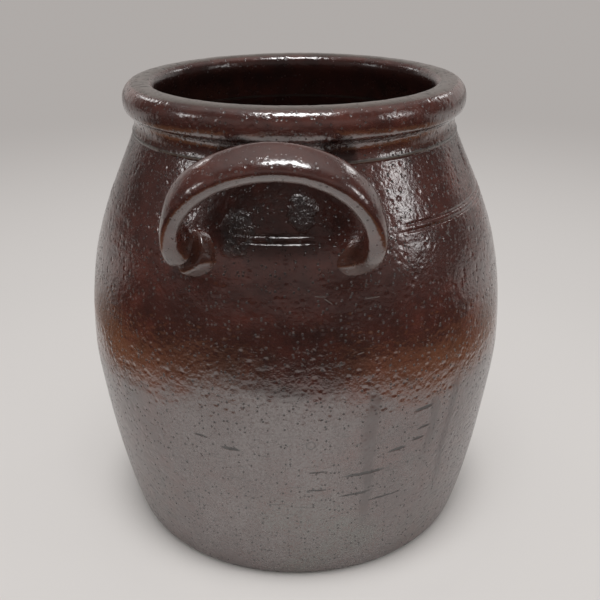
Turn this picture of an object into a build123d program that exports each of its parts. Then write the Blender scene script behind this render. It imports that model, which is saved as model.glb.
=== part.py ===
from build123d import *
import math
import os

os.makedirs("parts", exist_ok=True)

# A two-handled stoneware jar: one thrown, open-mouthed barrel, and two pulled strap handles
# luted to its shoulder. Millimetres, +Z up, origin at the middle of the underside.

# Outside of the thrown jar, from the foot up
foot_radius = 109.0
foot_edge_round = 2.5
belly_radius = 130.0
belly_height = 120.0
collar_base_radius = 96.0
collar_base_height = 249.8
collar_waist_radius = 94.8
collar_height = 11.6

# How the outside line bulges between the foot, the belly and the collar
foot_flare = 12.0
foot_flare_height = 31.5
belly_fullness_below = 9.5
belly_fullness_above = 68.0
shoulder_spread = 16.6
shoulder_drop = 39.0

# Rolled rim
rim_height = 17.3
rim_outer_radius = 100.6
rim_edge_round = 7.2
rim_undercut_round = 6.0
rim_inner_round = 3.5
mouth_radius = 81.4
throat_length = 8.0

# Walls
wall = 10.0
floor_thickness = 12.0
floor_corner_round = 14.0

# Two lines cut round the shoulder while the jar turned, this far below the collar
line_drops = (31.9, 35.3)
line_tool_radius = 1.1
line_depth = 0.8

# Handles: an oval strap bent into an arch that leans outwards, its ends curled in on the shoulder
handle_root_drop = 49.8
handle_root_inset = 5.0
handle_lean = 17.0
handle_half_width = 50.0
handle_arm_rise = 24.0
handle_arch_rise = 40.5
handle_curl_drop = 26.5
handle_curl_angle = 58.0
handle_curl_squareness = 2.5
handle_curl_inward = 11.0
handle_skew = 3.0
strap_thickness = 13.6
strap_breadth = 24.0
strap_end_thickness = 12.0
strap_end_breadth = 17.0
strap_taper_angle = 42.0
strap_sections = 17


def outside_curves(inset):
    """Lower and upper curves of the barrel, drawn this far inside the outer surface."""
    lower = Bezier(
        (foot_radius - inset, 0),
        (foot_radius + foot_flare - inset, foot_flare_height),
        (belly_radius - inset, belly_height - belly_fullness_below),
        (belly_radius - inset, belly_height),
    )
    upper = Bezier(
        (belly_radius - inset, belly_height),
        (belly_radius - inset, belly_height + belly_fullness_above),
        (collar_base_radius + shoulder_spread - inset, collar_base_height - shoulder_drop),
        (collar_base_radius - inset, collar_base_height),
    )
    return lower, upper


def outside_radius(height):
    """Outer radius of the barrel at a height, found by halving along its curves."""
    lower, upper = outside_curves(0)
    curve = lower if height < belly_height else upper
    low, high = 0.0, 1.0
    for _ in range(40):
        middle = (low + high) / 2
        if (curve @ middle).Y < height:
            low = middle
        else:
            high = middle
    return (curve @ low).X


def turned(edges):
    """Solid of revolution about Z from edges drawn as (radius, height)."""
    outline = make_face(edges)
    upright = Plane.XZ * outline
    return revolve(upright, Axis.Z)


def barrel_envelope():
    """The barrel up to the collar as a filled solid, without its rim."""
    lower, upper = outside_curves(0)
    top = Line(upper @ 1, (0, collar_base_height))
    axis = Line((0, collar_base_height), (0, 0))
    base = Line((0, 0), lower @ 0)
    return turned([lower, upper, top, axis, base])


def collar_and_rim():
    """Filled solid of the waisted collar and the flat-topped rolled rim."""
    crease_height = collar_base_height + collar_height
    rim_top = crease_height + rim_height
    waist = ThreePointArc(
        (collar_base_radius, collar_base_height),
        (collar_waist_radius, collar_base_height + collar_height / 2),
        (collar_base_radius, crease_height),
    )
    underside = Line((collar_base_radius, crease_height), (rim_outer_radius, crease_height))
    side = Line((rim_outer_radius, crease_height), (rim_outer_radius, rim_top))
    top = Line((rim_outer_radius, rim_top), (0, rim_top))
    axis = Line((0, rim_top), (0, collar_base_height))
    base = Line((0, collar_base_height), (collar_base_radius, collar_base_height))
    solid = turned([waist, underside, side, top, axis, base])
    outer_edges = solid.edges().filter_by(GeomType.CIRCLE).filter_by(
        lambda edge: abs(edge.radius - rim_outer_radius) < 0.01
    )
    lower_edge = outer_edges.sort_by(Axis.Z)[0]
    undercut = min(rim_undercut_round, 0.95 * (rim_outer_radius - collar_base_radius))
    solid = fillet(lower_edge, undercut)
    upper_edge = solid.edges().filter_by(GeomType.CIRCLE).filter_by(
        lambda edge: abs(edge.radius - rim_outer_radius) < 0.01
    ).sort_by(Axis.Z)[-1]
    return fillet(upper_edge, min(rim_edge_round, 0.9 * (rim_height - undercut)))


def hollow():
    """The space inside: a barrel one wall in from the outside, closed in above by the rim."""
    lower, upper = outside_curves(wall)
    rim_top = collar_base_height + collar_height + rim_height
    throat_base = rim_top - throat_length
    neck_inside = collar_base_radius - wall
    run_in = Line(upper @ 1, (neck_inside, collar_base_height + collar_height))
    ledge = Line(run_in @ 1, (mouth_radius, throat_base))
    throat = Line(ledge @ 1, (mouth_radius, rim_top))
    top = Line(throat @ 1, (0, rim_top))
    axis = Line((0, rim_top), (0, 0))
    base = Line((0, 0), lower @ 0)
    space = turned([lower, upper, run_in, ledge, throat, top, axis, base])
    below_floor = Pos(0, 0, floor_thickness / 2) * Cylinder(2 * belly_radius, floor_thickness)
    space -= below_floor
    floor_edge = space.faces().sort_by(Axis.Z)[0].edges()
    return fillet(floor_edge, floor_corner_round)


def shoulder_lines():
    """Rings that cut the two shallow lines round the shoulder."""
    rings = []
    for drop in line_drops:
        height = collar_base_height - drop
        ring_radius = outside_radius(height) + line_tool_radius - line_depth
        rings.append(Pos(0, 0, height) * Torus(ring_radius, line_tool_radius))
    return rings


def crock_body():
    """The thrown jar: foot, wall, shoulder, collar and rim in one piece of clay."""
    jar = barrel_envelope() + collar_and_rim()
    jar = jar.clean()
    jar -= hollow()
    foot_edge = jar.faces().sort_by(Axis.Z)[0].edges()
    jar = fillet(foot_edge, foot_edge_round)
    rim_top = collar_base_height + collar_height + rim_height
    mouth_edge = jar.edges().filter_by(GeomType.CIRCLE).filter_by(
        lambda edge: abs(edge.radius - mouth_radius) < 0.01
        and abs(edge.arc_center.Z - rim_top) < 0.01
    )[0]
    jar = fillet(mouth_edge, rim_inner_round)
    for ring in shoulder_lines():
        jar -= ring
    return jar.solids().sort_by(SortBy.VOLUME)[-1]


def route_point(angle):
    """Point of the strap's centre line: an arch above 0 and 180 degrees, a curl below them."""
    across = math.cos(math.radians(angle))
    up = math.sin(math.radians(angle))
    if up >= 0:
        x = handle_half_width * across + handle_skew * up ** 2
        rise = handle_arm_rise + handle_arch_rise * up
        inward = 0.0
    else:
        squared = abs(across) ** (2 / handle_curl_squareness)
        x = math.copysign(handle_half_width * squared, across)
        rise = handle_arm_rise - handle_curl_drop * abs(up) ** (2 / handle_curl_squareness)
        share = abs(up) / math.sin(math.radians(handle_curl_angle))
        inward = handle_curl_inward * share ** 1.6
    lean = math.radians(handle_lean)
    root_height = collar_base_height - handle_root_drop
    root_radius = outside_radius(root_height) - handle_root_inset
    y = -root_radius - rise * math.sin(lean) + inward * math.cos(lean)
    z = root_height + rise * math.cos(lean) + inward * math.sin(lean)
    return Vector(x, y, z)


def strap_half_sizes(angle):
    """Half breadth and half thickness of the strap, smaller where its ends curl in."""
    past_arm = max(0.0, -math.sin(math.radians(angle)))
    share = min(1.0, past_arm / math.sin(math.radians(strap_taper_angle)))
    blend = share * share * (3 - 2 * share)
    breadth = strap_breadth + (strap_end_breadth - strap_breadth) * blend
    thickness = strap_thickness + (strap_end_thickness - strap_thickness) * blend
    return breadth / 2, thickness / 2


def front_handle(envelope):
    """Strap handle, lofted through ovals along its route and ended on the shoulder."""
    span = 180 + 2 * handle_curl_angle
    angles = [180 + handle_curl_angle - span * i / (strap_sections - 1) for i in range(strap_sections)]
    route = Spline([route_point(angle) for angle in angles])
    lean = math.radians(handle_lean)
    broad_way = Vector(0, math.cos(lean), math.sin(lean))
    ovals = []
    for angle in angles:
        centre = route_point(angle)
        along = route.tangent_at(route.param_at_point(centre))
        half_breadth, half_thickness = strap_half_sizes(angle)
        across = Plane(origin=centre, x_dir=broad_way, z_dir=along)
        ovals.append(across * Ellipse(half_breadth, half_thickness))
    strap = loft(ovals)
    strap -= envelope
    return strap.solids().sort_by(SortBy.VOLUME)[-1]


body = crock_body()
front = front_handle(barrel_envelope())
rear = Rot(0, 0, 180) * front

pieces = {"crock_body": body, "front_handle": front, "rear_handle": rear}
for name, piece in pieces.items():
    export_step(piece, f"parts/{name}.step")
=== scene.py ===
import math
from bisect import bisect_left

import bmesh
import bpy
from mathutils import Matrix, Vector, noise


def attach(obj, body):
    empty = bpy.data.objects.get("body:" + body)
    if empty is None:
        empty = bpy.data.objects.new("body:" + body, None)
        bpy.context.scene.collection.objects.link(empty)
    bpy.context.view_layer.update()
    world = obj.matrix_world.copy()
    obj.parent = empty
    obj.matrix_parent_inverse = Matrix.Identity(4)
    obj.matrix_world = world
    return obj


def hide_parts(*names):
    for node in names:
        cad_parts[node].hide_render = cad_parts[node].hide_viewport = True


# A two-handled stoneware crock: one turned pot with a rolled rim, and two pulled strap
# handles luted to its shoulder. Metres, +Z up, the front handle towards -Y.

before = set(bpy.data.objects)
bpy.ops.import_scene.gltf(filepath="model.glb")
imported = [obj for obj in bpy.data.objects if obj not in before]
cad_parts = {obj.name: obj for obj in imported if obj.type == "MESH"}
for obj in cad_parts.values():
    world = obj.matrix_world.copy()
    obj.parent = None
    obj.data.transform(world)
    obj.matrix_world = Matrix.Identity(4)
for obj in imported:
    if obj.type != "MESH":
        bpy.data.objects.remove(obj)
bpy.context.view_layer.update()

MM = 0.001

# Outline of the pot, in millimetres, as (radius, height)
FOOT_RADIUS = 109.0
BELLY_RADIUS = 129.7
BELLY_HEIGHT = 120.0
COLLAR_RADIUS = 96.0
COLLAR_HEIGHT = 249.8
NECK_RADIUS = 86.0
WALL = 10.0
FLOOR = 12.0
INNER_CORNER = 14.0
UNDERSIDE_HOLLOW = 0.7
LINE_HEIGHTS = (217.9, 214.5)
BARREL_STEPS = 400
TURNS = 360

# Route of a handle's strap, in millimetres and degrees
ROOT_RADIUS = 113.1
ROOT_HEIGHT = 200.0
LEAN = 17.0
SECTION_TILT = 29.0
SECTION_SQUARENESS = 2.6
TILT_CHANGE = 8.0
HALF_WIDTH = 50.0
ARM_RISE = 24.0
ARCH_RISE = 40.6
CURL_DROP = 26.5
CURL_ANGLE = 58.0
CURL_SQUARENESS = 2.5
CURL_INWARD = 11.0
SKEW = 3.0
LEFT_SWELL = 3.0
ROUTE_STEPS = 2000
STATIONS = 64
END_STATIONS = 4
TAPER_ANGLE = 42.0
SECTION_POINTS = 28


def deselect():
    """Nothing selected and nothing in edit mode, so that an operator acts on one piece."""
    if bpy.context.object and bpy.context.object.mode != "OBJECT":
        bpy.ops.object.mode_set(mode="OBJECT")
    bpy.ops.object.select_all(action="DESELECT")


def only(piece):
    deselect()
    piece.select_set(True)
    bpy.context.view_layer.objects.active = piece


def smoothstep(low, high, value):
    share = min(1.0, max(0.0, (value - low) / (high - low)))
    return share * share * (3 - 2 * share)


# ---------------------------------------------------------------- camera

CAMERA_DISTANCE = 0.5070
CAMERA_HEIGHT = 0.3626
CAMERA_TILT = math.radians(24.32)
CAMERA_TURN = math.radians(5.2)
CAMERA_YAW = math.radians(0.28)
CAMERA_ROLL = math.radians(-0.36)
LENS = 50.7


def add_camera():
    heading = CAMERA_TURN - CAMERA_YAW
    ahead = Vector((
        -math.sin(heading) * math.cos(CAMERA_TILT),
        math.cos(heading) * math.cos(CAMERA_TILT),
        -math.sin(CAMERA_TILT),
    ))
    right = Vector((math.cos(heading), math.sin(heading), 0))
    up = right.cross(ahead)
    level = right * math.cos(CAMERA_ROLL) + up * math.sin(CAMERA_ROLL)
    upright = up * math.cos(CAMERA_ROLL) - right * math.sin(CAMERA_ROLL)
    camera = bpy.data.objects.new("camera", bpy.data.cameras.new("camera"))
    bpy.context.scene.collection.objects.link(camera)
    turn = Matrix((level, upright, -ahead)).transposed().to_4x4()
    place = Vector((
        math.sin(CAMERA_TURN) * CAMERA_DISTANCE,
        -math.cos(CAMERA_TURN) * CAMERA_DISTANCE,
        CAMERA_HEIGHT,
    ))
    camera.matrix_world = Matrix.Translation(place) @ turn
    camera.data.lens = LENS
    camera.data.sensor_width = 36
    camera.data.clip_start = 0.01
    bpy.context.scene.camera = camera


add_camera()


# ---------------------------------------------------------------- shader maths

class Shade:
    """A socket of a shader tree that Python expressions can be written with."""

    def __init__(self, tree, socket):
        self.tree = tree
        self.socket = socket

    def maths(self, operation, *values):
        return node(self.tree, "ShaderNodeMath", {"operation": operation}, values)

    def __add__(self, other):
        return self.maths("ADD", self, other)

    __radd__ = __add__

    def __sub__(self, other):
        return self.maths("SUBTRACT", self, other)

    def __rsub__(self, other):
        return self.maths("SUBTRACT", other, self)

    def __mul__(self, other):
        return self.maths("MULTIPLY", self, other)

    __rmul__ = __mul__

    def __truediv__(self, other):
        return self.maths("DIVIDE", self, other)

    def __pow__(self, other):
        return self.maths("POWER", self, other)

    def __abs__(self):
        return self.maths("ABSOLUTE", self)

    def least(self, other):
        return self.maths("MINIMUM", self, other)

    def most(self, other):
        return self.maths("MAXIMUM", self, other)

    def step(self, low, high):
        """0 below low, 1 above high, smooth between; low above high runs the other way."""
        settings = {"interpolation_type": "SMOOTHSTEP"}
        return node(self.tree, "ShaderNodeMapRange", settings, (self, low, high, 0.0, 1.0))

    def band(self, middle, half, soft):
        """1 within half of middle, falling to 0 over soft."""
        return abs(self - middle).step(half + soft, half)


def node(tree, kind, settings=None, values=(), named=None, output=0):
    """Adds a node: its settings first, then the values or links of its sockets."""
    made = tree.nodes.new(kind)
    for name, value in (settings or {}).items():
        setattr(made, name, value)
    pairs = list(zip(made.inputs, values))
    pairs += [(made.inputs[name], value) for name, value in (named or {}).items()]
    for socket, value in pairs:
        if isinstance(value, Shade):
            tree.links.new(value.socket, socket)
        elif value is not None:
            socket.default_value = value
    return Shade(tree, made.outputs[output])


def axes(tree, vector):
    """The three parts of a vector."""
    parts = node(tree, "ShaderNodeSeparateXYZ", {}, (vector,)).socket.node.outputs
    return tuple(Shade(tree, part) for part in parts)


def largest(first, *others):
    """Largest of several shares."""
    for other in others:
        first = first.most(other)
    return first


def mix(tree, share, first, second):
    """Colour that goes from first to second as share goes from 0 to 1."""
    made = tree.nodes.new("ShaderNodeMix")
    made.data_type = "RGBA"
    for place, value in ((0, share), (6, first), (7, second)):
        if isinstance(value, Shade):
            tree.links.new(value.socket, made.inputs[place])
        else:
            made.inputs[place].default_value = value
    return Shade(tree, made.outputs[2])


def cloud(tree, place, scale, detail=2.0, roughness=0.5, distortion=0.0):
    """Soft noise about 0.5."""
    named = {
        "Vector": place, "Scale": scale, "Detail": detail,
        "Roughness": roughness, "Distortion": distortion,
    }
    return node(tree, "ShaderNodeTexNoise", {"noise_dimensions": "3D"}, named=named)


def cells(tree, place, scale, randomness=1.0):
    """Distance from the nearest of many scattered points, and a random value for each."""
    named = {"Vector": place, "Scale": scale, "Randomness": randomness}
    made = node(tree, "ShaderNodeTexVoronoi", {"feature": "F1"}, named=named)
    own = made.socket.node
    chance = node(tree, "ShaderNodeSeparateColor", {}, (Shade(tree, own.outputs["Color"]),))
    return Shade(tree, own.outputs["Distance"]), chance


def spread(tree, place, factors):
    """The place with each of its axes multiplied, to stretch a pattern."""
    settings = {"operation": "MULTIPLY"}
    return node(tree, "ShaderNodeVectorMath", settings, (place, factors))


def new_material(name):
    material = bpy.data.materials.new(name)
    material.use_nodes = True
    material.node_tree.nodes.clear()
    return material, material.node_tree


def surface(tree, shader):
    output = tree.nodes.new("ShaderNodeOutputMaterial")
    tree.links.new(shader.socket, output.inputs["Surface"])


# ---------------------------------------------------------------- glaze

UMBER = (0.038, 0.0120, 0.0095, 1)
RUST = (0.100, 0.0260, 0.0175, 1)
# ochre tint of the glaze, also standing in as a painted reflection of the brown board
OCHRE_AND_REFLECTION = (0.118, 0.0400, 0.0210, 1)
# ash grey of the glaze, also standing in as a painted reflection of the white floor
ASH_AND_REFLECTION = (0.132, 0.1070, 0.1030, 1)
MOSS = (0.105, 0.1020, 0.0900, 1)
PLUM = (0.085, 0.0600, 0.0560, 1)
# dark of pits, pinholes and marks, also used for a painted contact shadow at the foot
PITCH = (0.008, 0.0055, 0.0050, 1)
# pale dots painted as tiny highlights of the lamps
PAINTED_GLINT = (0.190, 0.1550, 0.1450, 1)
# worn colour of the rim top and nicks, also a painted highlight on the collar ridge
WORN_AND_HIGHLIGHT = (0.064, 0.0530, 0.0430, 1)
# painted reflection of the white floor on faces turned down
FLOOR_REFLECTION = (0.210, 0.1750, 0.1650, 1)
# dark of the deep glaze, which also paints shade and dark reflections
BLACKISH = (0.016, 0.0060, 0.0050, 1)
GLAZE_IOR = 2.2
DEEP_IOR = 1.5
DEEP_ROUGHNESS = 0.22
BUMP_UNIT = 0.001


def dots(tree, place, scale, radius, share):
    """Scattered round dots of a radius in metres; share is how many cells have one."""
    gap, chance = cells(tree, place, scale)
    return gap.step(radius * scale * 1.35, radius * scale * 0.7) * chance.step(share, share - 0.02)


def glaze(name, zones):
    """Glossy iron glaze. zones gives the shares of rust, ochre (partly a painted reflection
    of the brown board), ash grey (partly a painted reflection of the white floor), moss, plum
    and dark (with a painted contact shadow at the foot), the worn rim with a painted
    highlight on the collar ridge, the pale underside as a painted floor reflection, and deep
    thin glaze that also paints shade and dark reflections, the fine texture's strength and
    what stands up, in millimetres."""
    material, tree = new_material(name)
    place = node(tree, "ShaderNodeTexCoord", output=3)
    x, y, z = axes(tree, place)
    broad = cloud(tree, place, 19, 3)
    mottle = cloud(tree, place, 80, 4, 0.6)
    coarse_peel = cloud(tree, place, 240, 1.0, 0.4)
    peel = cloud(tree, place, 560, 1.5, 0.5)
    zone = zones(tree, place, x, y, z, broad, mottle, coarse_peel)

    fine = cloud(tree, place, 640, 2.0, 0.65)
    pits = dots(tree, place, 420, 0.00060, 0.36)
    pinholes = dots(tree, place, 640, 0.00036, 0.30)
    grains_and_glints = dots(tree, place, 330, 0.00042, 0.30)
    dish_gap, dish_chance = cells(tree, place, 215)
    dishes = dish_gap.step(0.45, 0.05) * dish_chance.step(0.80, 0.30)

    colour = mix(tree, zone["rust"] * mottle.step(0.25, 0.75), UMBER, RUST)
    # the ochre here is partly a painted reflection of the brown board
    colour = mix(tree, zone["ochre_and_reflection"] * mottle.step(0.1, 0.6), colour, OCHRE_AND_REFLECTION)
    ash_and_reflection_colour = mix(tree, zone["moss"], ASH_AND_REFLECTION, MOSS)
    ash_and_reflection_colour = mix(tree, zone["plum"], ash_and_reflection_colour, PLUM)
    grit = (fine * 3.0 - 0.72).least(1.0).most(0.20)
    # the ash grey here is partly a painted reflection of the white floor
    colour = mix(tree, zone["ash_and_reflection"] * grit, colour, ash_and_reflection_colour)
    # painted highlights: pale dots on the raised grains stand for glints of the lamps
    colour = mix(tree, grains_and_glints * 0.12 * (1 - zone["ash_and_reflection"]), colour, PAINTED_GLINT)
    # painted reflection of the white floor on the lower faces
    colour = mix(tree, zone["pale"], colour, FLOOR_REFLECTION)
    # worn colour, with a painted highlight along the collar ridge
    colour = mix(tree, zone["worn_and_highlight"], colour, WORN_AND_HIGHLIGHT)
    holes = (pits * 0.95).most(pinholes * 0.7) * zone["texture"]
    colour = mix(tree, holes.most(zone["dark"]), colour, PITCH)

    height = coarse_peel * 0.24 + peel * 0.16 + grains_and_glints * 0.09 - pits * 0.16 - pinholes * 0.08
    height = height - dishes * 0.24 + fine * 0.05
    height = height * zone["texture"] + zone["raised"]
    bump = node(
        tree, "ShaderNodeBump", {},
        named={"Strength": 1.0, "Distance": BUMP_UNIT, "Height": height},
    )
    rough = 0.13 + peel * 0.10 + zone["ash_and_reflection"] * 0.06 + zone["worn_and_highlight"] * 0.18
    rough = rough + (pits * 0.35).most(zone["dark"] * 0.40)
    glossy = node(
        tree, "ShaderNodeBsdfPrincipled", {},
        named={"Base Color": colour, "Roughness": rough, "IOR": GLAZE_IOR, "Normal": bump},
    )
    deep_colour = mix(tree, mottle.step(0.3, 0.7), PITCH, BLACKISH)
    deep = node(
        tree, "ShaderNodeBsdfPrincipled", {},
        named={
            "Base Color": deep_colour, "Roughness": DEEP_ROUGHNESS, "IOR": DEEP_IOR,
            "Normal": bump,
        },
    )
    surface(tree, node(tree, "ShaderNodeMixShader", {}, (zone["deep"], glossy, deep)))
    return material


def oval(first, second, middle, half):
    """1 in an oval patch of two coordinates, fading out at its edge."""
    across = (first - middle[0]) / half[0]
    along = (second - middle[1]) / half[1]
    return (across * across + along * along).step(1.35, 0.55)


# Bearings are in degrees from the front, positive to the right; heights here in metres.
ASH_AND_REFLECTION_FADE = (0.1440, 0.1330)
BELT_AND_REFLECTION_HEIGHT = 0.1500
RIDGE = 0.2505
COVE = 0.2560
RIM_ROOT = 0.2610
RIM_FLAT = (0.2771, 0.2780)

# Short strokes: bearing, height in mm, half length in degrees, half thickness in mm, slope
SCRAPES = (
    (-11.3, 100.8, 2.8, 1.25, -0.04), (22.5, 82.0, 6.4, 1.15, 0.02),
    (31.0, 94.0, 3.0, 1.10, 0.04), (38.0, 117.2, 3.4, 1.30, 0.03),
    (20.6, 67.6, 5.0, 0.85, 0.06), (10.2, 86.8, 2.6, 0.55, 0.0),
    (10.0, 73.4, 2.8, 0.60, 0.0), (37.2, 97.0, 2.2, 1.00, 0.03),
    (29.0, 60.5, 5.4, 0.65, 0.02), (-19.0, 106.0, 2.0, 0.70, -0.03),
    (38.6, 104.0, 2.4, 0.8, 0.03), (141.0, 88.0, 5.0, 1.0, 0.05),
    (-133.0, 70.0, 4.6, 1.0, -0.06),
)
NICKS = (
    (11.0, 189.5, 1.5, 0.30, -0.10), (12.8, 187.0, 1.1, 0.34, -0.75),
    (23.8, 186.5, 2.0, 0.30, 0.0), (15.1, 153.2, 1.3, 0.33, 0.18),
    (20.2, 158.6, 0.9, 0.33, 0.25), (50.8, 207.6, 0.8, 0.40, -1.1),
    (-104.0, 182.0, 1.8, 0.30, 0.2), (168.0, 171.0, 1.6, 0.32, -0.3),
)
SCAR = ((77.4, 241.0, 0.9, 3.2, 0.0), (76.8, 233.0, 0.8, 4.0, 0.0))

# Runs of glaze in the ash and its painted floor reflection: bearing and half width in
# degrees, top and bottom in metres
RUNS = (
    (22.8, 1.3, 0.142, 0.030), (47.8, 1.6, 0.133, 0.040), (41.0, 1.2, 0.128, 0.070),
    (-72.0, 1.6, 0.130, 0.050), (-150.0, 2.0, 0.135, 0.060), (112.0, 1.8, 0.136, 0.055),
)

# Tongues of brown glaze into the ash and its painted floor reflection: bearing, half width
# in degrees, length in metres
TONGUES = ((-13.0, 10.0, 0.011), (24.0, 15.0, 0.006))

# Patches of deep glaze that paint dark reflections: bearing and height, half sizes, way
# they swirl, share
DARK_REFLECTIONS = (
    ((3.0, 0.1560), (19.0, 0.0210), 1, 0.42),
    ((-11.0, COVE), (9.0, 0.0090), 1, 0.80),
    ((18.5, COVE), (5.5, 0.0090), -1, 0.80),
)

# Rough blisters behind the front handle: bearing and height in mm
LEFT_BLISTER = (-10.6, 218.5)
RIGHT_BLISTER = (6.6, 228.5)


def marks(bearing, z, rows):
    """Largest of a set of short slanting strokes."""
    strokes = []
    for middle, height, half, thick, slope in rows:
        along = (bearing - middle) / half
        across = (z - height * MM) / (thick * MM) - (bearing - middle) * slope / thick * 2.0
        strokes.append((along * along + across * across).step(1.3, 0.3))
    return largest(*strokes)


def inner_skin(tree, x, y, z, radius):
    """1 on the inner wall and floor, 0 on the outer skin and the rim."""
    nx, ny, nz = axes(tree, node(tree, "ShaderNodeNewGeometry", output=1))
    outwards = (nx * x + ny * y) / radius
    wall = outwards.step(-0.05, -0.35) * z.step(0.2775, 0.2740)
    return wall.most(nz.step(0.4, 0.8) * z.step(0.06, 0.04))


def glaze_runs(tree, place, bearing, z, mottle):
    """Darker runs that go straight down through the ash and its painted floor reflection."""
    sway = (cloud(tree, place, 30, 1.0) - 0.5) * 5.0
    runs = []
    for middle, half, top, bottom in RUNS:
        run = abs(bearing + sway - middle).step(half + 1.0, half * 0.4)
        run = run * z.step(top, top - 0.012) * z.step(bottom, bottom + 0.03)
        runs.append(run * (0.60 + mottle.step(0.35, 0.60) * 0.40))
    return largest(*runs)


def ash_and_reflection_share(tree, place, edge, sideways):
    """Ash grey, partly a painted reflection of the white floor, below a wavering edge, in soft
    patches, and less of it at the sides.
    """
    patches = cloud(tree, spread(tree, place, (26.0, 26.0, 17.0)), 1.0, 3.0, 0.55)
    ash_and_reflection = edge.step(*ASH_AND_REFLECTION_FADE) * (0.60 + patches.step(0.38, 0.60) * 0.44)
    return ash_and_reflection * (1 - sideways.step(0.20, 0.80) * 0.34)


def deep_shade_and_reflection(tree, place, bearing, sideways, z, swirl):
    """Deep thin glaze: painted shade behind the handles and in the crease under the rim,
    painted dark reflections on the belly and in the cove, blotches, and darker low at the
    sides and towards the foot.
    """
    behind = abs(abs(bearing) - 90) - 90
    # painted shade on the wall behind each handle
    arch = oval(behind + swirl, z, (0.0, 0.2270), (23.0, 0.0200)) * 0.80
    # painted dark reflections on the belly and in the cove
    patches = [
        oval(bearing + swirl * way, z, middle, half) * share
        for middle, half, way, share in DARK_REFLECTIONS
    ]
    blotches = cloud(tree, place, 17.0, 3.0, 0.6).step(0.52, 0.66) * z.step(0.135, 0.165)
    low_sides = sideways.step(0.22, 0.75) * z.step(0.140, 0.105)
    foot = z.step(0.060, 0.0)
    # painted shade in the crease under the rim
    root = z.band(RIM_ROOT, 0.0006, 0.0012)
    return largest(arch, *patches, blotches * 0.34, low_sides * 0.22, foot * 0.20, root * 0.5)


def pot_zones(tree, place, x, y, z, broad, mottle, coarse_peel):
    """Rust on the shoulder, an ochre belt at the sides that is partly a painted reflection of
    the brown board, ash grey towards the foot that is partly a painted reflection of the white
    floor, and painted shade inside.
    """
    radius = (x * x + y * y) ** 0.5
    bearing = node(tree, "ShaderNodeMath", {"operation": "ARCTAN2"}, (x, 0 - y)) * (180 / math.pi)
    sideways = abs(x) / radius
    swirl = (mottle - 0.5) * 9.0
    inside = inner_skin(tree, x, y, z, radius)
    runs = glaze_runs(tree, place, bearing, z, mottle)

    edge = z + (broad - 0.5) * 0.030 + (mottle - 0.5) * 0.020 + (coarse_peel - 0.5) * 0.024
    edge = edge + sideways * 0.020
    for middle, half, length in TONGUES:
        edge = edge - abs(bearing - middle).step(half, 0.0) * length
    # ash grey below the edge, partly a painted reflection of the white floor
    ash_and_reflection = ash_and_reflection_share(tree, place, edge, sideways)
    # ochre belt: partly a real ochre band, partly a painted reflection of the brown board
    belt_and_reflection = edge.band(BELT_AND_REFLECTION_HEIGHT, 0.0050, 0.0170) * (0.06 + sideways.step(0.25, 0.70) * 0.80)
    # ochre under the rim: a painted reflection of the brown board in the cove
    cove_reflection = z.band(COVE, 0.0022, 0.0035) * sideways.step(0.45, 0.75) * 0.5

    long_grain = spread(tree, place, (60.0, 60.0, 900.0))
    streaks = cloud(tree, long_grain, 1.0, 2.0, 0.5).step(0.665, 0.71) * z.step(0.125, 0.105)
    wander = (cloud(tree, place, 260, 2.0) - 0.5) * 0.0012
    scrapes = marks(bearing, z + wander, SCRAPES)
    nicks = marks(bearing, z, NICKS)
    scar = marks(bearing, z, SCAR)
    ring_gap = abs((((bearing - 8.4) * 0.0022) ** 2 + (z - 0.106) ** 2) ** 0.5 - 0.0024)
    ring = ring_gap.step(0.0006, 0.0002) * 0.5

    left = (LEFT_BLISTER[0], LEFT_BLISTER[1] * MM)
    right = (RIGHT_BLISTER[0], RIGHT_BLISTER[1] * MM)
    crust = oval(bearing + swirl, z, left, (4.4, 0.0110)).most(
        oval(bearing - swirl, z, right, (3.8, 0.0085)))
    lumps = cloud(tree, place, 430, 2.0, 0.6, 0.8)

    top = z.step(*RIM_FLAT) * radius.step(0.0825, 0.0845)
    spokes = node(tree, "ShaderNodeCombineXYZ", {}, (bearing * 0.55, radius * 160.0, 0.0))
    scratches = cloud(tree, spokes, 1.0, 2.0, 0.6)
    flecks = scratches.step(0.58, 0.66) * top * (0.15 + sideways.step(0.55, 0.85) * 0.85)
    # painted contact shadow: a thin dark line round the foot
    contact_shadow_line = z.step(0.0030, 0.0008)
    # painted highlight: a pale line along the collar ridge
    ridge = z.band(RIDGE, 0.0005, 0.0006) * mottle.step(0.2, 0.5)
    return {
        "rust": 0.25 + broad.step(0.35, 0.65) * 0.75,
        "ochre_and_reflection": belt_and_reflection.most(cove_reflection),
        "ash_and_reflection": ash_and_reflection * (1 - inside) * (1 - runs * 0.45),
        "moss": broad.step(0.45, 0.62) * z.step(0.09, 0.03),
        "plum": (mottle.step(0.52, 0.68) * 0.55).most(sideways.step(0.50, 0.92) * 0.75),
        "dark": largest(
            scrapes * 0.95, streaks * 0.5, runs * 0.42, ring, scar * 0.9, flecks * 0.8,
            contact_shadow_line * 0.8, crust * lumps.step(0.62, 0.5) * 0.7,
        ),
        "pale": 0.0,
        # painted shade inside the pot, as dark deep glaze
        "deep": deep_shade_and_reflection(tree, place, bearing, sideways, z, swirl).most(inside * 0.80),
        "worn_and_highlight": largest(top * 0.75, nicks, crust * lumps.step(0.58, 0.68) * 0.6, ridge),
        "texture": (1 - top * 0.5) * (1 - inside * 0.3) * (1 - z.step(0.261, 0.264) * 0.25),
        "raised": crust * lumps * 1.1 - scrapes * 0.18 - flecks * 0.10 - scar * 0.3 + nicks * 0.15,
    }


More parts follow.
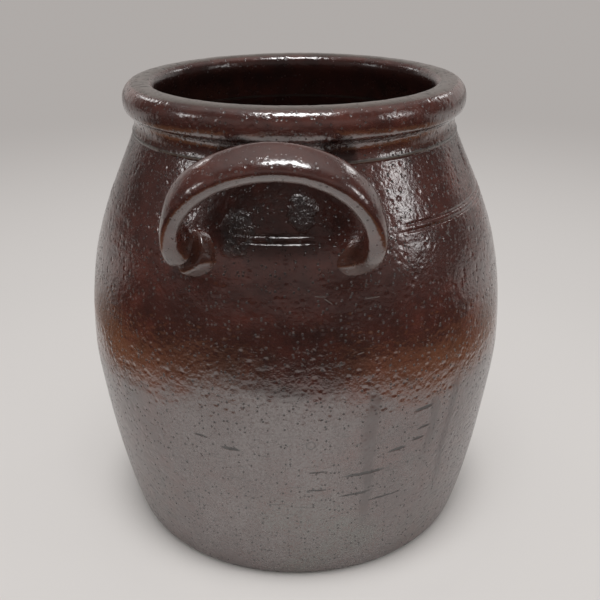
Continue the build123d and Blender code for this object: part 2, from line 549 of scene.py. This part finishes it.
def strap_zones(tree, place, x, y, z, broad, mottle, coarse_peel):
    """Rust with ochre where each end meets the shoulder, partly a painted reflection of the
    brown board; pale below as a painted reflection of the white floor, and along rubbed edges.
    """
    level = z + (mottle - 0.5) * 0.012
    ends = level.step(0.2230, 0.2130)
    rubbed = node(tree, "ShaderNodeNewGeometry", output=7).step(0.52, 0.60)
    downward = 0 - axes(tree, node(tree, "ShaderNodeNewGeometry", output=1))[2]
    return {
        "rust": 0.45 + broad.step(0.35, 0.65) * 0.55,
        # ochre at the strap's ends is partly a painted reflection of the brown board
        "ochre_and_reflection": ends * 0.55 + mottle.step(0.6, 0.7) * 0.25,
        "ash_and_reflection": ends * 0.10,
        "moss": 0.0,
        "plum": 0.5,
        "dark": 0.0,
        # painted reflection of the white floor on the strap's lower faces
        "pale": downward.step(0.25, 0.60) * (0.42 + mottle * 0.25),
        "deep": broad.step(0.46, 0.62) * 0.40,
        "worn_and_highlight": rubbed * 0.25,
        "texture": 0.45,
        "raised": 0.0,
    }


pot_glaze = glaze("pot_glaze", pot_zones)
strap_glaze = glaze("strap_glaze", strap_zones)


# ---------------------------------------------------------------- pot

def barrel_table():
    """Heights and outer radii of the barrel at close steps, in millimetres."""
    belly_low, belly_high = BELLY_HEIGHT - 9.5, BELLY_HEIGHT + 68.0
    lower = (
        (FOOT_RADIUS, 0.0), (FOOT_RADIUS + 12.0, 31.5),
        (BELLY_RADIUS, belly_low), (BELLY_RADIUS, BELLY_HEIGHT),
    )
    upper = (
        (BELLY_RADIUS, BELLY_HEIGHT), (BELLY_RADIUS, belly_high),
        (COLLAR_RADIUS + 16.6, COLLAR_HEIGHT - 39.0), (COLLAR_RADIUS, COLLAR_HEIGHT),
    )
    heights, radii = [], []
    for curve in (lower, upper):
        for step in range(BARREL_STEPS + 1):
            t = step / BARREL_STEPS
            s = 1 - t
            weights = (s ** 3, 3 * s * s * t, 3 * s * t * t, t ** 3)
            heights.append(sum(w * point[1] for w, point in zip(weights, curve)))
            radii.append(sum(w * point[0] for w, point in zip(weights, curve)))
    return heights, radii


BARREL = barrel_table()


def outer_barrel(height):
    """Outer radius of the barrel at a height, in millimetres."""
    heights, radii = BARREL
    above = min(max(bisect_left(heights, height), 1), len(heights) - 1)
    gap = heights[above] - heights[above - 1]
    share = (height - heights[above - 1]) / gap if gap else 0.0
    return radii[above - 1] + (radii[above] - radii[above - 1]) * min(1.0, max(0.0, share))


def spaced(start, end, gap):
    """Even steps from start to end, about gap apart, without the start."""
    count = max(1, round(abs(end - start) / gap))
    return [start + (end - start) * (i + 1) / count for i in range(count)]


def pot_outline():
    """Half outline of the pot, from the middle of its underside round to its floor."""
    points = [(0.0, UNDERSIDE_HOLLOW)]
    points += [(radius, UNDERSIDE_HOLLOW) for radius in spaced(0.0, 84.0, 12.0)]
    # standing ring, then the barrel, closer together where the shoulder lines are cut
    points += [(88.0, 0.35), (92.0, 0.0), (99.0, 0.0), (105.5, 0.0)]
    points += [(107.2, 0.35), (108.6, 1.2), (109.7, 2.8)]
    heights = spaced(2.8, 209.0, 2.05) + spaced(209.0, 222.0, 0.55)
    heights += spaced(222.0, COLLAR_HEIGHT - 1.2, 1.9)
    points += [(outer_barrel(height), height) for height in heights]
    # ridge at the foot of the collar, then the hollow cove up to the rim
    points += [
        (COLLAR_RADIUS - 0.2, 249.5), (COLLAR_RADIUS + 0.35, 250.1), (COLLAR_RADIUS + 0.3, 250.9),
        (COLLAR_RADIUS - 0.4, 251.9), (95.2, 253.0), (94.9, 254.4), (94.75, 255.8),
        (94.85, 257.2), (95.2, 258.6), (95.8, 259.8), (96.6, 260.8), (96.9, 261.5),
    ]
    # rolled rim: undercut, round side, flat top, round inner edge
    points += [
        (98.1, 261.9), (98.9, 262.6), (99.6, 263.6), (100.1, 264.9), (100.4, 266.4),
        (100.55, 268.0), (100.5, 269.6), (100.3, 271.2), (99.85, 272.8), (99.2, 274.2),
        (98.3, 275.5), (97.2, 276.6), (95.9, 277.5), (94.4, 278.1), (92.8, 278.45),
        (91.0, 278.6), (89.2, 278.65), (87.4, 278.55), (85.8, 278.2), (84.4, 277.5),
        (83.2, 276.5), (82.3, 275.3), (81.7, 273.9), (81.45, 272.4),
    ]
    # throat
    points += [(81.4, 270.9), (81.6, 269.3), (82.4, 266.8), (83.6, 264.0), (85.0, 261.0)]
    # inside: neck, wall, rounded corner, floor
    corner_top = FLOOR + INNER_CORNER
    for height in spaced(259.0, corner_top, 6.5):
        wall = outer_barrel(min(height, COLLAR_HEIGHT)) - WALL
        points.append((wall if height < COLLAR_HEIGHT else NECK_RADIUS, height))
    inner = outer_barrel(corner_top) - WALL
    for step in range(1, 6):
        turn = math.radians(18.0 * step)
        points.append((
            inner - INNER_CORNER * (1 - math.cos(turn)),
            corner_top - INNER_CORNER * math.sin(turn),
        ))
    points += [(radius, FLOOR) for radius in spaced(inner - INNER_CORNER, 0.0, 14.0)]
    return points


def turn_pot():
    """Draws the outline by extruding one vertex, and spins it round the axis."""
    deselect()
    outline = pot_outline()
    bpy.ops.mesh.primitive_plane_add(size=0.01, location=(0, 0, 0))
    piece = bpy.context.object
    piece.name = "pot"
    bpy.ops.object.mode_set(mode="EDIT")
    mesh = bmesh.from_edit_mesh(piece.data)
    bmesh.ops.delete(mesh, geom=mesh.verts[1:], context="VERTS")
    mesh.verts.ensure_lookup_table()
    mesh.verts[0].co = (outline[0][0] * MM, 0, outline[0][1] * MM)
    mesh.verts[0].select = True
    bmesh.update_edit_mesh(piece.data)
    bpy.ops.mesh.select_mode(type="VERT")
    bpy.ops.mesh.select_all(action="SELECT")
    for before, after in zip(outline, outline[1:]):
        move = ((after[0] - before[0]) * MM, 0, (after[1] - before[1]) * MM)
        bpy.ops.mesh.extrude_region_move(TRANSFORM_OT_translate={"value": move})
    bpy.ops.mesh.select_all(action="SELECT")
    bpy.ops.mesh.spin(
        steps=TURNS, angle=2 * math.pi, center=(0, 0, 0), axis=(0, 0, 1), dupli=False
    )
    bpy.ops.mesh.select_all(action="SELECT")
    bpy.ops.mesh.remove_doubles(threshold=0.00002)
    bpy.ops.mesh.normals_make_consistent(inside=False)
    bpy.ops.object.mode_set(mode="OBJECT")
    return piece


# Where a thumb wiped the shoulder lines: bearing, half width in degrees, depth left
WIPED = ((-41.0, 29.0, 0.10), (23.0, 11.0, 0.12), (176.0, 9.0, 0.3))
ROOT_BEARINGS = (-17.5, 17.5, 162.5, -162.5)
RAISED_RUNS = (22.8, 48.0, -72.0, -150.0, 112.0)


def line_strength(bearing):
    """How deep the shoulder lines are at a bearing: 0 to 1, wiped out beside the handle."""
    strength = 1.0
    for middle, half, left in WIPED:
        apart = abs((bearing - middle + 180) % 360 - 180)
        strength = min(strength, left + (1 - left) * smoothstep(half, half + 6.0, apart))
    return strength


def near(bearing, height, middle, half):
    """1 at the middle of an oval patch, 0 outside it."""
    across = ((bearing - middle[0] + 180) % 360 - 180) / half[0]
    along = (height - middle[1]) / half[1]
    return 1 - smoothstep(0.2, 1.0, math.hypot(across, along))


def hand_work(point):
    """Height of the hand-made unevenness at a point of the pot, in millimetres."""
    x, y, z = (value / MM for value in point)
    radius = math.hypot(x, y)
    bearing = math.degrees(math.atan2(x, -y))
    # out of true, and pressed in a little all over
    raised = 0.30 * noise.noise(point * 9.0) - 0.27
    raised += 0.10 * noise.noise(point * 45.0)
    raised += 0.07 * noise.noise(point * 170.0)
    outside = radius > 80.0 and z > 1.5
    if outside and z < COLLAR_HEIGHT and radius > outer_barrel(z) - WALL / 2:
        # turning rings, then the lines cut round the shoulder
        ring = math.sin(z / 1.35 + 2.2 * noise.noise(Vector((x * 0.004, y * 0.004, z * 0.03))))
        raised += 0.03 * ring
        for height in LINE_HEIGHTS:
            off = z - height - 0.5 * noise.noise(point * 14.0)
            cut = math.exp(-(off / 0.62) ** 2)
            lip = math.exp(-((off + 1.2) / 0.55) ** 2)
            raised += line_strength(bearing) * (0.10 * lip - 0.74 * cut)
        # blisters, scar, smears of clay at the handle roots and raised runs
        lumps = 0.5 + noise.noise(point * 310.0)
        raised += 1.1 * lumps * near(bearing, z, LEFT_BLISTER, (6.0, 13.0))
        raised += 1.0 * lumps * near(bearing, z, RIGHT_BLISTER, (5.0, 10.0))
        raised -= 1.1 * near(bearing, z, (77.2, 237.0), (1.5, 12.0))
        for side in ROOT_BEARINGS:
            raised += 1.4 * near(bearing, z, (side, 204.0), (9.5, 17.0))
        for middle in RAISED_RUNS:
            raised += 0.12 * near(bearing, z, (middle, 95.0), (2.6, 48.0))
    elif z < COLLAR_HEIGHT - 8 and radius < 128 and z > FLOOR + 6:
        raised += 0.16 * math.sin(z / 2.4 + 1.5 * noise.noise(point * 12.0))
    if z > 277.0:
        raised += 0.10 * noise.noise(Vector((bearing * 0.35, radius * 0.05, 4.0)))
    return raised


def work_pot(piece):
    """Moves the skin of the pot by its hand-made unevenness."""
    mesh = piece.data
    normals = [vertex.normal.copy() for vertex in mesh.vertices]
    for vertex, normal in zip(mesh.vertices, normals):
        vertex.co += normal * (hand_work(vertex.co) * MM)
    mesh.update()


pot = turn_pot()
work_pot(pot)
pot.data.materials.append(pot_glaze)
only(pot)
bpy.ops.object.shade_smooth()
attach(pot, "root")
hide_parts("crock_body")


# ---------------------------------------------------------------- handles

def route(angle):
    """Point of the strap's centre line, as an arch with its ends curled in."""
    across = math.cos(math.radians(angle))
    up = math.sin(math.radians(angle))
    if up >= 0:
        x = HALF_WIDTH * across + SKEW * up * up
        rise = ARM_RISE + ARCH_RISE * up
        inward = 0.0
    else:
        squared = abs(across) ** (2 / CURL_SQUARENESS)
        x = math.copysign(HALF_WIDTH * squared, across) - LEFT_SWELL * (across < 0) * abs(up)
        rise = ARM_RISE - CURL_DROP * abs(up) ** (2 / CURL_SQUARENESS)
        inward = CURL_INWARD * (abs(up) / math.sin(math.radians(CURL_ANGLE))) ** 1.6
    lean = math.radians(LEAN)
    return Vector((
        x,
        -ROOT_RADIUS - rise * math.sin(lean) + inward * math.cos(lean),
        ROOT_HEIGHT + rise * math.cos(lean) + inward * math.sin(lean),
    ))


def even_route(count):
    """Places along the route at even distances, each with its angle."""
    start, end = 180 + CURL_ANGLE, -CURL_ANGLE
    fine = [start + (end - start) * i / ROUTE_STEPS for i in range(ROUTE_STEPS + 1)]
    places = [route(angle) for angle in fine]
    lengths = [0.0]
    for before, after in zip(places, places[1:]):
        lengths.append(lengths[-1] + (after - before).length)
    chosen = []
    index = 0
    for step in range(count):
        wanted = lengths[-1] * step / (count - 1)
        while index < ROUTE_STEPS - 1 and lengths[index + 1] < wanted:
            index += 1
        chosen.append((places[index], fine[index]))
    return chosen


def square_off(vertex):
    """Moves a point of a unit circle outwards, to the strap's flatter section."""
    for axis in (0, 1):
        value = vertex.co[axis]
        vertex.co[axis] = math.copysign(abs(value) ** (2 / SECTION_SQUARENESS), value)


def section_ring(stations, i):
    """One section of the strap: thicker and rounder towards its ends, most at the left."""
    centre, angle = stations[i]
    side = math.cos(math.radians(angle))
    tilt = math.radians(SECTION_TILT - TILT_CHANGE * side)
    broad = Vector((0, math.cos(tilt), math.sin(tilt)))
    before = stations[max(0, i - 1)][0]
    after = stations[min(len(stations) - 1, i + 1)][0]
    along = (after - before).normalized()
    thin = along.cross(broad).normalized()
    wide = thin.cross(along).normalized()
    past_arm = max(0.0, -math.sin(math.radians(angle)))
    taper = smoothstep(0.0, math.sin(math.radians(TAPER_ANGLE)), past_arm)
    to_end = min(i, len(stations) - 1 - i) / END_STATIONS
    rounding = math.sqrt(1 - (1 - min(1.0, to_end + 0.25)) ** 2)
    blob = taper * (side < 0)
    half_wide = (11.0 - 0.7 * taper + 1.6 * blob) * (0.35 + 0.65 * rounding)
    half_thin = (6.1 + 0.9 * taper + 3.9 * blob) * (0.25 + 0.75 * rounding)
    turn = Matrix((wide, thin, wide.cross(thin))).transposed().to_4x4()
    size = Matrix.Diagonal((half_wide * MM, half_thin * MM, MM, 1))
    bpy.ops.mesh.primitive_circle_add(vertices=SECTION_POINTS, radius=1, location=(0, 0, 0))
    ring = bpy.context.object
    for vertex in ring.data.vertices:
        square_off(vertex)
    ring.matrix_world = Matrix.Translation(centre * MM) @ turn @ size
    return ring


def pull_strap(name):
    """Bridges sections along the route into a closed strap."""
    deselect()
    stations = even_route(STATIONS)
    rings = [section_ring(stations, i) for i in range(STATIONS)]
    deselect()
    for ring in rings:
        ring.select_set(True)
    bpy.context.view_layer.objects.active = rings[0]
    bpy.ops.object.join()
    strap = bpy.context.object
    strap.name = name
    bpy.ops.object.transform_apply(location=True, rotation=True, scale=True)
    bpy.ops.object.mode_set(mode="EDIT")
    bpy.ops.mesh.select_all(action="SELECT")
    bpy.ops.mesh.bridge_edge_loops()
    bpy.ops.mesh.select_all(action="DESELECT")
    bpy.ops.mesh.select_mode(type="EDGE")
    bpy.ops.mesh.select_non_manifold()
    bpy.ops.mesh.fill_holes(sides=0)
    bpy.ops.mesh.select_all(action="SELECT")
    bpy.ops.mesh.normals_make_consistent(inside=False)
    bpy.ops.object.mode_set(mode="OBJECT")
    smooth = strap.modifiers.new("round", "SUBSURF")
    smooth.levels = 2
    smooth.render_levels = 2
    bpy.ops.object.modifier_apply(modifier="round")
    return strap


def work_strap(strap):
    """Finger marks and unevenness along the strap."""
    mesh = strap.data
    normals = [vertex.normal.copy() for vertex in mesh.vertices]
    for vertex, normal in zip(mesh.vertices, normals):
        raised = 0.45 * noise.noise(vertex.co * 35.0) + 0.10 * noise.noise(vertex.co * 120.0)
        vertex.co += normal * ((raised - 0.25) * MM)
    mesh.update()


def finish_handle(strap, cad_node):
    """Glazes a strap, shades it smooth, hangs it under the root body and hides the handle of
    the frame that it stands for.
    """
    strap.data.materials.append(strap_glaze)
    only(strap)
    bpy.ops.object.shade_smooth()
    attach(strap, "root")
    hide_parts(cad_node)


front_strap = pull_strap("front_strap")
work_strap(front_strap)
rear_strap = front_strap.copy()
rear_strap.data = front_strap.data.copy()
rear_strap.name = "rear_strap"
bpy.context.scene.collection.objects.link(rear_strap)
rear_strap.data.transform(Matrix.Rotation(math.pi, 4, "Z"))
finish_handle(front_strap, "front_handle")
finish_handle(rear_strap, "rear_handle")


# ---------------------------------------------------------------- floor, light, world

# The sheet, as it is lit and as it is seen near and far; then the room in the glaze
FLOOR_WHITE = (0.78, 0.755, 0.735, 1)
SEEN_NEAR = (0.617, 0.590, 0.571, 1)
SEEN_FAR = (0.430, 0.405, 0.390, 1)
BOARD = (0.25, 0.125, 0.065, 1)
DARK_ROOM = (0.022, 0.018, 0.017, 1)
EVEN_LOW = (0.90, 0.875, 0.86, 1)
EVEN_HIGH = (0.20, 0.195, 0.19, 1)
FRONT_ROOM = (0.205, 0.160, 0.150, 1)
DIM_ROOM = (0.10, 0.080, 0.075, 1)
CEILING = (0.40, 0.39, 0.38, 1)
BACKDROP = (0.58, 0.55, 0.53, 1)


def floor_material():
    """Pale sheet, greyer far away; what shines in the glaze beyond its edge is brown."""
    material, tree = new_material("floor_sheet")
    place = node(tree, "ShaderNodeTexCoord", output=3)
    x, y, _ = axes(tree, place)
    away = (x * x + y * y) ** 0.5
    path = tree.nodes.new("ShaderNodeLightPath")
    camera_ray = Shade(tree, path.outputs["Is Camera Ray"])
    sheet = ((x * 1.45) * (x * 1.45) + y * y) ** 0.5
    edge = sheet + (cloud(tree, place, 7.0, 1.0) - 0.5) * 0.14
    beyond = mix(tree, edge.step(0.68, 1.05), BOARD, DARK_ROOM)
    beyond = mix(tree, edge.step(1.3, 3.0), beyond, DIM_ROOM)
    ahead = abs(x + y * 0.09).step(0.26, 0.10) * y.step(0.0, -0.3)
    beyond = mix(tree, ahead * 0.9, beyond, DARK_ROOM)
    met = mix(tree, edge.step(0.47, 0.53) * y.step(0.42, 0.04), FLOOR_WHITE, beyond)
    colour = mix(tree, camera_ray, met, FLOOR_WHITE)
    lit = node(tree, "ShaderNodeBsdfDiffuse", {}, named={"Color": colour})
    seen = mix(tree, away.step(0.30, 1.30), SEEN_NEAR, SEEN_FAR)
    plain = node(tree, "ShaderNodeEmission", {}, named={"Color": seen})
    clear = away.step(0.108, 0.150) * 0.72 + away.step(0.20, 0.46) * 0.28
    surface(tree, node(tree, "ShaderNodeMixShader", {}, (camera_ray * clear, lit, plain)))
    return material


def add_floor():
    """Plain floor, wide enough to fill the view."""
    deselect()
    bpy.ops.mesh.primitive_plane_add(size=16, location=(0, 0, 0))
    floor = bpy.context.object
    floor.name = "floor"
    floor.data.materials.append(floor_material())


def add_light(name, bearing, lift, distance, width, tall, power, glossy=True):
    """Rectangular lamp aimed at the middle of the crock. Bearing 0 is the front, 90 the right."""
    lamp = bpy.data.lights.new(name, "AREA")
    lamp.shape = "RECTANGLE"
    lamp.size = width
    lamp.size_y = tall
    lamp.energy = power
    light = bpy.data.objects.new(name, lamp)
    bpy.context.scene.collection.objects.link(light)
    a, e = math.radians(bearing), math.radians(lift)
    away = Vector((math.sin(a) * math.cos(e), -math.cos(a) * math.cos(e), math.sin(e)))
    light.location = Vector((0, 0, 0.18)) + away * distance
    light.rotation_mode = "QUATERNION"
    light.rotation_quaternion = away.to_track_quat("Z", "Y")
    light.visible_glossy = glossy
    light.visible_camera = False


def add_world():
    """Dim brownish room all round, pale behind the crock; even pale light for the rest."""
    world = bpy.data.worlds.new("studio")
    bpy.context.scene.world = world
    world.use_nodes = True
    tree = world.node_tree
    tree.nodes.clear()
    _, y, z = axes(tree, node(tree, "ShaderNodeTexCoord", output=0))
    behind = y.step(0.42, 0.72) * z.step(0.75, 0.35)
    front = y.step(0.25, -0.85) * z.step(-0.05, 0.35) * z.step(0.70, 0.40)
    room = mix(tree, 0.25 + front * 0.75, DARK_ROOM, FRONT_ROOM)
    room = mix(tree, behind, room, BACKDROP)
    room = mix(tree, z.step(0.50, 0.90) * y.step(-0.30, 0.20), room, CEILING)
    path = tree.nodes.new("ShaderNodeLightPath")
    glossy = Shade(tree, path.outputs["Is Glossy Ray"])
    even = mix(tree, z.step(0.0, 0.9), EVEN_LOW, EVEN_HIGH)
    colour = mix(tree, glossy, even, room)
    background = node(tree, "ShaderNodeBackground", {}, named={"Color": colour})
    output = tree.nodes.new("ShaderNodeOutputWorld")
    tree.links.new(background.socket, output.inputs["Surface"])


add_floor()
add_world()
add_light("ceiling_panel", 4, 77, 1.6, 0.72, 0.38, 11.5)
add_light("right_window", 76, 24, 1.5, 0.38, 0.62, 1.03)
add_light("right_core", 74, 24, 1.45, 0.17, 0.26, 0.55)
add_light("left_window", -68, 25, 1.5, 0.30, 0.30, 0.42)
add_light("left_core", -68, 25, 1.45, 0.17, 0.20, 0.36)
add_light("back_left", -128, 32, 1.6, 0.26, 0.20, 0.7)
add_light("back_right", 138, 32, 1.6, 0.26, 0.20, 0.7)
add_light("soft_top", 10, 70, 1.8, 2.2, 2.2, 14.5, glossy=False)

scene = bpy.context.scene
scene.view_settings.view_transform = "Standard"
